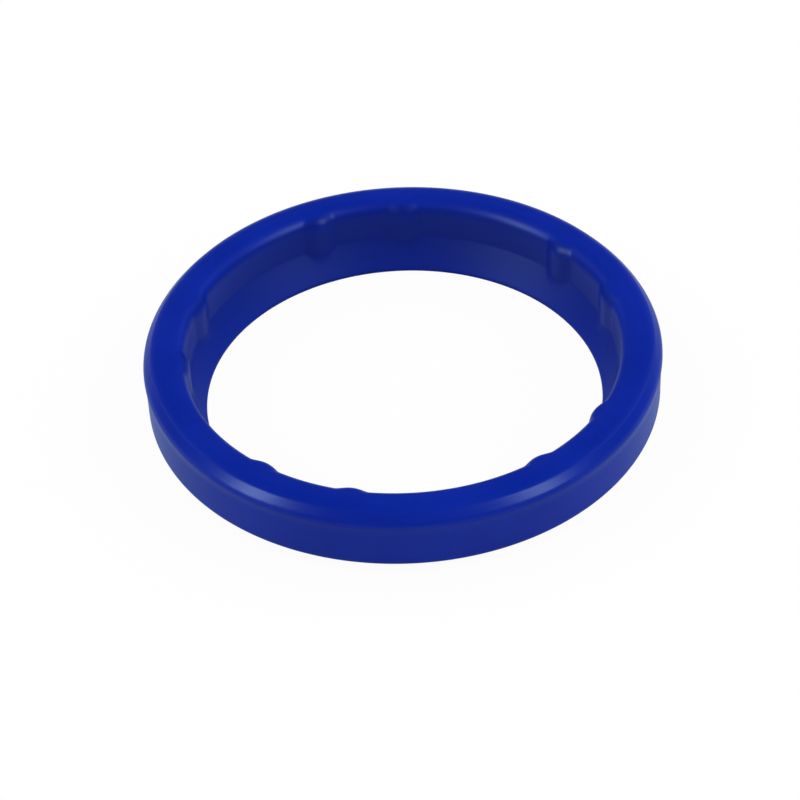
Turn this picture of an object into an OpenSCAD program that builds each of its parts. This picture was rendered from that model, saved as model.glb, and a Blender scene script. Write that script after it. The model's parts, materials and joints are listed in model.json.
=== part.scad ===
// Rod scraper ring: one moulded polyurethane ring that wipes a hydraulic rod clean.
// It lies as it is stored, lip down, with the flat back of its heel on top.
// Lengths are millimetres. The axis of the ring is Z, and the end of the lip is at z = 0.

/* [Heel] */
// Diameter of the outer wall, which presses into the housing
wall_d = 43; // [30:0.5:80]
// Thickness of the heel from its outer wall to its inner wall, which clears the rod
heel_w = 3.35; // [3.1:0.05:5]
// Height of the heel from its front face to its flat back
heel_h = 5.35; // [4.4:0.05:8]
// Radius of the round between the flat back and the inner wall
bore_round = 1.3; // [0.4:0.05:1.6]
// Radius of the round shoulder between the flat back and the outer edge
shoulder_round = 1.8; // [1:0.05:2.1]
// Angle that the shoulder turns through before it ends in the outer edge
shoulder_angle = 74; // [45:1:85]
// How far the outer edge stands proud of the outer wall
edge_step = 0.1; // [0.05:0.01:0.3]
// Radius of the round between the outer wall and the front face
front_round = 0.3; // [0.1:0.05:0.8]

/* [Lip] */
// How far the free lip leans in past the inner wall of the heel, to grip the rod
lip_lean = 1.45; // [0.9:0.05:2.4]
// How far the lip reaches past the front face of the heel
lip_reach = 1.15; // [0.8:0.05:1.7]
// Height of the crease between the lip's cone and the heel wall, above the lip's end
crease_h = 2.85; // [2.4:0.05:4]
// Height of the plain band that rubs on the rod
land_h = 0.3; // [0.1:0.05:0.5]
// Width of the blunt end of the lip
tip_w = 0.3; // [0.15:0.05:0.6]
// Thickness of the lip where it leaves the front face
root_w = 1.3; // [0.9:0.1:1.8]
// Radius of the fillet between the back of the lip and the front face
root_round = 0.6; // [0.2:0.1:1]

/* [Nubs] */
// Number of pairs of nubs that keep the heel centred on the rod
pair_count = 5; // [3:1:6]
// Angle between the two nubs of a pair
pair_angle = 24; // [18:1:36]
// Angle of the first nub from the X axis
first_angle = 16; // [0:0.5:48]
// How far a nub stands out from the heel wall
nub_proud = 0.42; // [0.2:0.01:0.6]
// Radius of the rounded face of a nub
nub_r = 2.45; // [1.8:0.05:3.2]
// How far the top of a nub lies below the flat back
nub_drop = 0.08; // [0.05:0.01:0.4]

/* [Hidden] */
$fn = 144;

wall_r = wall_d / 2;
heel_r = wall_r - heel_w;
lip_r = heel_r - lip_lean;
edge_r = wall_r + edge_step;
back_z = lip_reach + heel_h;

// The shoulder starts level with the flat back and ends at the outer edge
shoulder_r = edge_r - shoulder_round * sin(shoulder_angle);
edge_z = back_z - shoulder_round * (1 - cos(shoulder_angle));

// The cone of the lip rises from the plain band out to the crease
cone_slope = (crease_h - land_h) / lip_lean;
root_r = lip_r + (lip_reach - land_h) / cone_slope + root_w;

// The fillet at the root of the lip touches the back of the lip and the front face
lip_back_angle = atan2(lip_reach, root_r - lip_r - tip_w);
root_tangent = root_round * tan(lip_back_angle / 2);
root_out = root_r + root_tangent;
root_in = root_r - root_tangent * cos(lip_back_angle);
root_in_z = lip_reach - root_tangent * sin(lip_back_angle);

// A nub runs down the heel wall until its tip meets the cone of the lip
nub_axis_r = heel_r - nub_proud + nub_r;
nub_end_z = land_h + (lip_lean - nub_proud) * cone_slope;
nub_foot_z = (lip_reach + nub_end_z) / 2;
nub_top_z = back_z - nub_drop;
nub_keep_r = (heel_r + bore_round + shoulder_r) / 2;

// What a round of radius r takes off a square corner, with side as the signs of the corner
module corner_waste(centre, r, side) {
    translate(centre)
        mirror([side.x < 0 ? 1 : 0, 0])
            mirror([0, side.y < 0 ? 1 : 0])
                difference() {
                    square(2 * r);
                    circle(r);
                }
}

// What the shoulder takes off the outer corner of the heel
module shoulder_waste() {
    difference() {
        translate([shoulder_r, edge_z])
            square(2 * shoulder_round);
        translate([shoulder_r, back_z - shoulder_round])
            circle(shoulder_round);
    }
}

// Half section of the ring, with the distance from the axis along X
module ring_section() {
    difference() {
        polygon([
            [lip_r, 0],
            [lip_r + tip_w, 0],
            [root_in, root_in_z],
            [root_out, lip_reach],
            [wall_r, lip_reach],
            [wall_r, edge_z - edge_step],
            [edge_r, edge_z],
            [edge_r, back_z],
            [heel_r, back_z],
            [heel_r, crease_h],
            [lip_r, land_h]
        ]);
        translate([root_out, lip_reach - root_round])
            circle(root_round);
        corner_waste([heel_r + bore_round, back_z - bore_round], bore_round, [-1, 1]);
        corner_waste([wall_r - front_round, lip_reach + front_round], front_round, [1, -1]);
        shoulder_waste();
    }
}

// One nub as a whole round post, standing on the Z axis, with its top edge rounded
module nub_post() {
    rotate_extrude()
        difference() {
            translate([0, nub_foot_z])
                square([nub_r, nub_top_z - nub_foot_z]);
            corner_waste([nub_r - bore_round, nub_top_z - bore_round], bore_round, [1, 1]);
        }
}

// All the nubs, kept to the part of each post that is inside or in front of the heel
module nubs() {
    intersection() {
        cylinder(r = nub_keep_r, h = back_z);
        for (pair = [0 : pair_count - 1], side = [0, 1])
            rotate(first_angle + pair * 360 / pair_count + side * pair_angle)
                translate([nub_axis_r, 0])
                    nub_post();
    }
}

module scraper_ring() {
    color("mediumblue") {
        rotate_extrude()
            ring_section();
        nubs();
    }
}

scraper_ring();
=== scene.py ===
import json
import math

import bmesh
import bpy
from mathutils import Matrix, Quaternion, Vector


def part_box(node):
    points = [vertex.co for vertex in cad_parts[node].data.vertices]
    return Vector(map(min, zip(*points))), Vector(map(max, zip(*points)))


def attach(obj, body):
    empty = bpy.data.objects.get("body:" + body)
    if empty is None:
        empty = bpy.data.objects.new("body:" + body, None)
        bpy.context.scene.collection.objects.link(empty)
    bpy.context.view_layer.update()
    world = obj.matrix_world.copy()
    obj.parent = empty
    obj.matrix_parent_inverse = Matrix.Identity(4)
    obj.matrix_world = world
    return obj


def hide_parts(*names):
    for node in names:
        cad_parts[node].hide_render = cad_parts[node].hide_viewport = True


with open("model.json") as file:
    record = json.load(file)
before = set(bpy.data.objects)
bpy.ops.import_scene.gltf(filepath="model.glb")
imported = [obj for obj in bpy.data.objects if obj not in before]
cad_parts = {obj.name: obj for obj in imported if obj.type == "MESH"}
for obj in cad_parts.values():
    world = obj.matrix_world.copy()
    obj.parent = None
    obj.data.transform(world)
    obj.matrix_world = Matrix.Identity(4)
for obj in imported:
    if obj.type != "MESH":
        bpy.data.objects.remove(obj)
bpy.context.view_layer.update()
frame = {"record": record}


# The scraper ring is one moulding of blue polyurethane: a thick heel that presses into its
# groove, and a thin lip that leans in to grip the rod. The mould is turned on a lathe, so the
# ring is swept from one half section, with the corners rounded as the mould's cutter left them.
MM = 0.001
mounts = {mount["name"]: mount for mount in frame["record"]["mounts"]}
ring_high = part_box("scraper_ring")[1]
edge_r = ring_high.x
back_z = ring_high.z
wall_r = mounts["housing_wall"]["dims"]["r_mm"] * MM
lip_r = mounts["lip_bore"]["dims"]["r_mm"] * MM
heel_w = 3.35 * MM
heel_r = wall_r - heel_w
front_z = 1.15 * MM
crease_z = 2.85 * MM
land_h = 0.3 * MM
tip_w = 0.3 * MM
root_reach = 1.783 * MM
root_r = lip_r + root_reach
bore_round = 1.3 * MM
front_round = 0.3 * MM

# The shoulder falls from the flat back to the proud outer edge in three faint turns, and the
# edge eases into the wall below it
shoulder_round = 1.8 * MM
shoulder_angle = math.radians(74)
shoulder_top_r = 20.35 * MM
shoulder_turn_r = 20.92 * MM
shoulder_turn_z = 6.21 * MM
shoulder_foot_r = 21.5 * MM
shoulder_foot_z = 5.55 * MM
edge_z = back_z - shoulder_round * (1 - math.cos(shoulder_angle))
edge_ease = 0.7 * MM

# Each corner of the section: distance from the axis, height, length cut back, cuts in its round
section_corners = (
    (lip_r, 0, 0.06 * MM, 3),
    (lip_r + tip_w, 0, 0.06 * MM, 3),
    (root_r, front_z, 0.2 * MM, 5),
    (wall_r, front_z, front_round, 6),
    (wall_r, edge_z - edge_ease, 0.25 * MM, 4),
    (edge_r, edge_z, 0.14 * MM, 6),
    (shoulder_foot_r, shoulder_foot_z, 0.2 * MM, 6),
    (shoulder_turn_r, shoulder_turn_z, 0.12 * MM, 5),
    (shoulder_top_r, back_z, 0.35 * MM, 8),
    (heel_r, back_z, bore_round, 16),
    (heel_r, crease_z, 0.12 * MM, 4),
    (lip_r, land_h, 0.05 * MM, 3),
)
ring_mesh = bmesh.new()
corner_verts = [ring_mesh.verts.new((r, 0, z)) for r, z, cut, cuts in section_corners]
ring_mesh.faces.new(corner_verts)
for vert, (r, z, cut, cuts) in zip(corner_verts, section_corners):
    bmesh.ops.bevel(
        ring_mesh,
        geom=[vert],
        offset=cut,
        offset_type="OFFSET",
        affect="VERTICES",
        segments=cuts,
        profile=0.5,
        material=-1,
    )
bmesh.ops.delete(ring_mesh, geom=list(ring_mesh.faces), context="FACES_ONLY")

# The long straight runs are cut up, so that the nubs have enough rows to stand on
long_run = 1 * MM
long_edges = [edge for edge in ring_mesh.edges if edge.calc_length() > long_run]
bmesh.ops.subdivide_edges(ring_mesh, edges=long_edges, cuts=11)

# Ten nubs in five pairs keep the heel centred on the rod. One fifth of the ring is swept, with
# closer steps where its two nubs will stand.
pair_count = 5
pair_turn = math.radians(360 / pair_count)
nub_turn = math.radians(24)
first_nub = math.radians(16)
nub_half = math.radians(5)
nub_steps = 28
between_steps = 12
plain_steps = 32
bmesh.ops.rotate(
    ring_mesh,
    verts=ring_mesh.verts,
    cent=(0, 0, 0),
    matrix=Quaternion((0, 0, 1), first_nub - nub_half).to_matrix(),
)
sweep_end = [*ring_mesh.verts, *ring_mesh.edges]
for turn, steps in (
    (2 * nub_half, nub_steps),
    (nub_turn - 2 * nub_half, between_steps),
    (2 * nub_half, nub_steps),
    (pair_turn - nub_turn - 2 * nub_half, plain_steps),
):
    swept = bmesh.ops.spin(
        ring_mesh, geom=sweep_end, cent=(0, 0, 0), axis=(0, 0, 1), angle=turn, steps=steps
    )
    sweep_end = swept["geom_last"]

# A nub is the front of a round post with a rounded top, run into the wall by a small fillet
nub_r = 2.45 * MM
nub_proud = 0.42 * MM
nub_drop = 0.08 * MM
nub_axis = heel_r - nub_proud + nub_r
nub_top = back_z - nub_drop
nub_foot = 1.63 * MM
nub_fillet = 0.3 * MM


def nub_face(off_axis, z):
    """Distance from the ring's axis to a nub's face, at an angle from its middle and a height."""
    above = max(z - (nub_top - bore_round), 0)
    if z < nub_foot or above > bore_round:
        return math.inf
    post = nub_r - bore_round + math.sqrt(bore_round**2 - above**2)
    aside = nub_axis * math.sin(off_axis)
    if abs(aside) >= post:
        return math.inf
    return nub_axis * math.cos(off_axis) - math.sqrt(post**2 - aside**2)


for vert in ring_mesh.verts:
    r = vert.co.xy.length
    if vert.co.z > nub_foot and r < heel_r + bore_round:
        angle = math.atan2(vert.co.y, vert.co.x)
        off_axis = min((angle - first_nub, angle - first_nub - nub_turn), key=abs)
        face = nub_face(off_axis, vert.co.z)
        blend = max(nub_fillet - abs(r - face), 0) / nub_fillet
        vert.co.xy *= (min(r, face) - blend**2 * nub_fillet / 4) / r

# The fifth is repeated round the ring, and the seams between the copies are welded
weld = 0.0001 * MM
bmesh.ops.spin(
    ring_mesh,
    geom=[*ring_mesh.verts, *ring_mesh.edges, *ring_mesh.faces],
    cent=(0, 0, 0),
    axis=(0, 0, 1),
    angle=pair_turn * (pair_count - 1),
    steps=pair_count - 1,
    use_duplicate=True,
)
bmesh.ops.remove_doubles(ring_mesh, verts=ring_mesh.verts, dist=weld)
bmesh.ops.recalc_face_normals(ring_mesh, faces=ring_mesh.faces)

ring_data = bpy.data.meshes.new("polyurethane_ring")
ring_mesh.to_mesh(ring_data)
ring_mesh.free()
ring_data.shade_smooth()
ring = bpy.data.objects.new("polyurethane_ring", ring_data)
bpy.context.scene.collection.objects.link(ring)


class Shade:
    """One output of a material's nodes. Sums on it add Math nodes."""

    def __init__(self, tree, socket=None):
        self.tree = tree
        self.socket = socket

    def node(self, kind, settings=None, inputs=None, output=0):
        """Adds a node of any kind, sets it, feeds its sockets and returns one of its outputs."""
        made = self.tree.nodes.new(kind)
        for name, value in (settings or {}).items():
            setattr(made, name, value)
        for name, value in (inputs or {}).items():
            if isinstance(value, Shade):
                self.tree.links.new(value.socket, made.inputs[name])
            else:
                made.inputs[name].default_value = value
        return Shade(self.tree, made.outputs[output] if made.outputs else None)

    def math(self, operation, *values):
        return self.node("ShaderNodeMath", {"operation": operation}, dict(enumerate(values)))

    def __add__(self, other):
        return self.math("ADD", self, other)

    __radd__ = __add__

    def __rsub__(self, other):
        return self.math("SUBTRACT", other, self)

    def __mul__(self, other):
        return self.math("MULTIPLY", self, other)

    def ramp(self, low, high):
        """0 below low, 1 above high and a soft rise between them."""
        return self.node(
            "ShaderNodeMapRange",
            {"interpolation_type": "SMOOTHSTEP"},
            {"Value": self, "From Min": low, "From Max": high},
        )

    def blend(self, first, second):
        """The first colour where this is 0, the second where it is 1 and a mix between them."""
        colours = {"Factor": self, 6: first, 7: second}
        return self.node("ShaderNodeMix", {"data_type": "RGBA"}, colours, output=2)


def new_material(name):
    """An empty material and the start of its nodes."""
    made = bpy.data.materials.new(name)
    made.use_nodes = True
    made.node_tree.nodes.clear()
    return made, Shade(made.node_tree)


polyurethane, shade = new_material("satin_blue_polyurethane")
place = shade.node("ShaderNodeTexCoord", output="Object")
height = shade.node("ShaderNodeSeparateXYZ", None, {0: place}, output="Z")
flat_place = shade.node(
    "ShaderNodeVectorMath", {"operation": "MULTIPLY"}, {0: place, 1: (1, 1, 0)}
)
radius = shade.node(
    "ShaderNodeVectorMath", {"operation": "LENGTH"}, {0: flat_place}, output="Value"
)

# Pigment clouds a few millimetres wide
clouds = shade.node(
    "ShaderNodeTexNoise", None, {"Vector": place, "Scale": 180, "Detail": 3, "Roughness": 0.5}
)
deep_blue = (0.001, 0.0155, 0.295, 1)
light_blue = (0.002, 0.0185, 0.325, 1)
pigment = clouds.ramp(0.3, 0.7).blend(deep_blue, light_blue)

# Painted shade darkens the inner side; painted light, as if shining through, brightens the
# thinning lip
inner_from = heel_r + 0.02 * MM
inner_to = heel_r + 0.3 * MM
cone_from = crease_z - 0.3 * MM
cone_to = crease_z + 0.1 * MM
thin_from = -0.6 * MM
inner = 1 - radius.ramp(inner_from, inner_to)
cone = inner * (1 - height.ramp(cone_from, cone_to))
lip_light_share = cone * (1 - height.ramp(thin_from, crease_z))
# Painted shade: the darker blue of the ring's inner side
inner_shade_blue = (0.001, 0.013, 0.238, 1)
# Painted light: the lighter blue of the thinning lip, as if lit through
lip_light_blue = (0.001, 0.017, 0.31, 1)
colour = lip_light_share.blend(inner.blend(pigment, inner_shade_blue), lip_light_blue)

# Satin mould finish: a fine grain over faint turning marks
grain = shade.node(
    "ShaderNodeTexNoise", None, {"Vector": place, "Scale": 4200, "Detail": 2, "Roughness": 0.6}
)
mark_pitch = 0.16 * MM
grain_depth = 0.8
mark_depth = 0.06
marks = shade.math("SINE", (radius + height) * (math.tau / mark_pitch))
relief = grain * grain_depth + marks * mark_depth
bump = shade.node(
    "ShaderNodeBump", None, {"Strength": 0.35, "Distance": 0.01 * MM, "Height": relief}
)

# The halves of the mould part on the flat back. The core half is rougher, most of all at the lip
parting_r = 19.6 * MM
parting_blur = 0.2 * MM
core_side = 1 - radius.ramp(parting_r - parting_blur, parting_r + parting_blur)
plain_rough = 0.27
grain_rough = 0.06
core_rough = 0.09
cone_rough = 0.16
rough = plain_rough + grain * grain_rough + core_side * core_rough + cone * cone_rough
surface = shade.node(
    "ShaderNodeBsdfPrincipled",
    None,
    {
        "Base Color": colour,
        "Roughness": rough,
        "IOR": 1.5,
        "Specular IOR Level": 0.2,
        "Normal": bump,
    },
)
shade.node("ShaderNodeOutputMaterial", None, {"Surface": surface})
ring.data.materials.append(polyurethane)
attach(ring, "root")
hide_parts("scraper_ring")


# The floor is a plain white studio sweep under the ring. It is white to the eye and pale
# to everything else, and it keeps the ring's soft shadow.
floor_half = 1.5
floor_drop = 0.02 * MM
floor_mesh = bmesh.new()
bmesh.ops.create_grid(floor_mesh, x_segments=1, y_segments=1, size=floor_half)
bmesh.ops.translate(floor_mesh, verts=floor_mesh.verts, vec=(0, 0, -floor_drop))
floor_data = bpy.data.meshes.new("studio_floor")
floor_mesh.to_mesh(floor_data)
floor_mesh.free()
floor = bpy.data.objects.new("studio_floor", floor_data)
bpy.context.scene.collection.objects.link(floor)
studio_white, shade = new_material("studio_white")
path = shade.node("ShaderNodeLightPath")
path_outputs = path.socket.node.outputs
seen = Shade(shade.tree, path_outputs["Is Camera Ray"])
mirrored = Shade(shade.tree, path_outputs["Is Glossy Ray"]) + Shade(
    shade.tree, path_outputs["Is Transmission Ray"]
)
cool_grey = (0.38, 0.45, 0.48, 1)
near_white = (0.95, 0.95, 0.95, 1)
cool_white = (0.72, 0.95, 1, 1)
white = (1, 1, 1, 1)
paper = shade.node("ShaderNodeBsdfDiffuse", None, {"Color": cool_grey})
white_paper = shade.node("ShaderNodeBsdfDiffuse", None, {"Color": near_white})
tint = seen.blend(cool_white, white)
glow = shade.node("ShaderNodeEmission", None, {"Color": tint, "Strength": 1})
shadow_share = 0.05
mirror_share = 0.34
lit = shade.node("ShaderNodeMixShader", None, {0: shadow_share, 1: glow, 2: white_paper})
lit_share = seen + mirrored * mirror_share
both = shade.node("ShaderNodeMixShader", None, {0: lit_share, 1: paper, 2: lit})
shade.node("ShaderNodeOutputMaterial", None, {"Surface": both})
floor.data.materials.append(studio_white)


# The air of the studio is white to the eye and gives the ring only a little light. The soft
# light comes from a tent of five cloth panels, most of it from the two sides, and the sheen
# from two strips and two slim tubes.
air_light = 0.12
air_white = (1, 1, 1, 1)
world = bpy.data.worlds.new("studio")
bpy.context.scene.world = world
world.use_nodes = True
world.node_tree.nodes.clear()
shade = Shade(world.node_tree)
seen = shade.node("ShaderNodeLightPath", output="Is Camera Ray")
air_strength = air_light + seen * (1 - air_light)
air = shade.node("ShaderNodeBackground", None, {"Color": air_white, "Strength": air_strength})
shade.node("ShaderNodeOutputWorld", None, {"Surface": air})


def area_lamp(name, width, length, strength, place, turn):
    """A flat lamp at a place, turned to shine along its own -Z, equally bright at any size."""
    data = bpy.data.lights.new(name, "AREA")
    data.shape = "RECTANGLE"
    data.size = width
    data.size_y = length
    data.energy = strength * math.pi * width * length
    lamp = bpy.data.objects.new(name, data)
    lamp.location = place
    lamp.rotation_euler = turn.to_euler()
    bpy.context.scene.collection.objects.link(lamp)
    return lamp


tent_half = 0.6
tent_top = 0.8
for name, side, strength in (
    ("top_panel", Vector((0, 0, 1)), 0.5),
    ("back_panel", Vector((0, 1, 0)), 0.5),
    ("front_panel", Vector((0, -1, 0)), 0.5),
    ("left_panel", Vector((-1, 0, 0)), 1.7),
    ("right_panel", Vector((1, 0, 0)), 2.15),
):
    if side.z > 0:
        panel_length = 2 * tent_half
        panel_place = side * tent_top
    else:
        panel_length = tent_top
        panel_place = side * tent_half + Vector((0, 0, tent_top / 2))
    panel_turn = side.to_track_quat("Z", "Y")
    panel = area_lamp(name, 2 * tent_half, panel_length, strength, panel_place, panel_turn)
    panel.data.cycles.use_multiple_importance_sampling = False
    panel.visible_glossy = False

# Two upright strips stand left and right, a little in front
cool_lamp = (0.69, 0.95, 1)
strip_w = 0.105
strip_l = 0.34
strip_distance = 0.6
for name, turn_degrees, rise_degrees, strength in (
    ("left_strip", -65, 25, 18.5),
    ("right_strip", 55, 33, 14.5),
):
    turn, rise = math.radians(turn_degrees), math.radians(rise_degrees)
    toward = Vector(
        (math.sin(turn) * math.cos(rise), -math.cos(turn) * math.cos(rise), math.sin(rise))
    )
    strip_place = toward * strip_distance
    strip_turn = toward.to_track_quat("Z", "Y")
    strip = area_lamp(name, strip_w, strip_l, strength, strip_place, strip_turn)
    strip.data.color = cool_lamp
    strip.visible_diffuse = False

# Two slim tubes lean back along the sides, high in the middle and low behind the ring
tube_w = 0.03
tube_strength = 3
tube_aside = 0.43
for name, side in (("left_tube", -1), ("right_tube", 1)):
    tube_high = Vector((tube_aside * side, -0.02, 0.42))
    tube_low = Vector((tube_aside * side, 0.46, 0.11))
    tube_l = (tube_low - tube_high).length
    along = (tube_low - tube_high).normalized()
    middle = (tube_high + tube_low) / 2
    away = (middle - along * middle.dot(along)).normalized()
    tube_turn = Matrix((along.cross(away), along, away)).transposed()
    tube = area_lamp(name, tube_w, tube_l, tube_strength, middle, tube_turn)
    tube.data.color = cool_lamp
    tube.visible_diffuse = False


# The camera looks down at the ring from in front, slightly rolled. Its lens and shift are
# measured in the pixels of a square picture.
image_side = 800
focal_px = 2597.2
shift_x_px = -4
shift_y_px = -18
camera_elevation = math.radians(41.0743)
camera_roll = math.radians(-2.659)
camera_distance = 10.13 * edge_r
camera_aim = Vector((0, 0, 1.4 * MM))
camera_data = bpy.data.cameras.new("camera")
camera_data.sensor_width = 36
camera_data.lens = focal_px / image_side * camera_data.sensor_width
camera_data.shift_x = shift_x_px / image_side
camera_data.shift_y = shift_y_px / image_side
camera_data.clip_start = 0.01
camera_data.clip_end = 10
camera = bpy.data.objects.new("camera", camera_data)
back = Vector((0, -math.cos(camera_elevation), math.sin(camera_elevation)))
camera.location = camera_aim + back * camera_distance
camera.rotation_euler = (
    back.to_track_quat("Z", "Y") @ Quaternion((0, 0, 1), camera_roll)
).to_euler()
bpy.context.scene.collection.objects.link(camera)
bpy.context.scene.camera = camera
bpy.context.scene.view_settings.view_transform = "Standard"
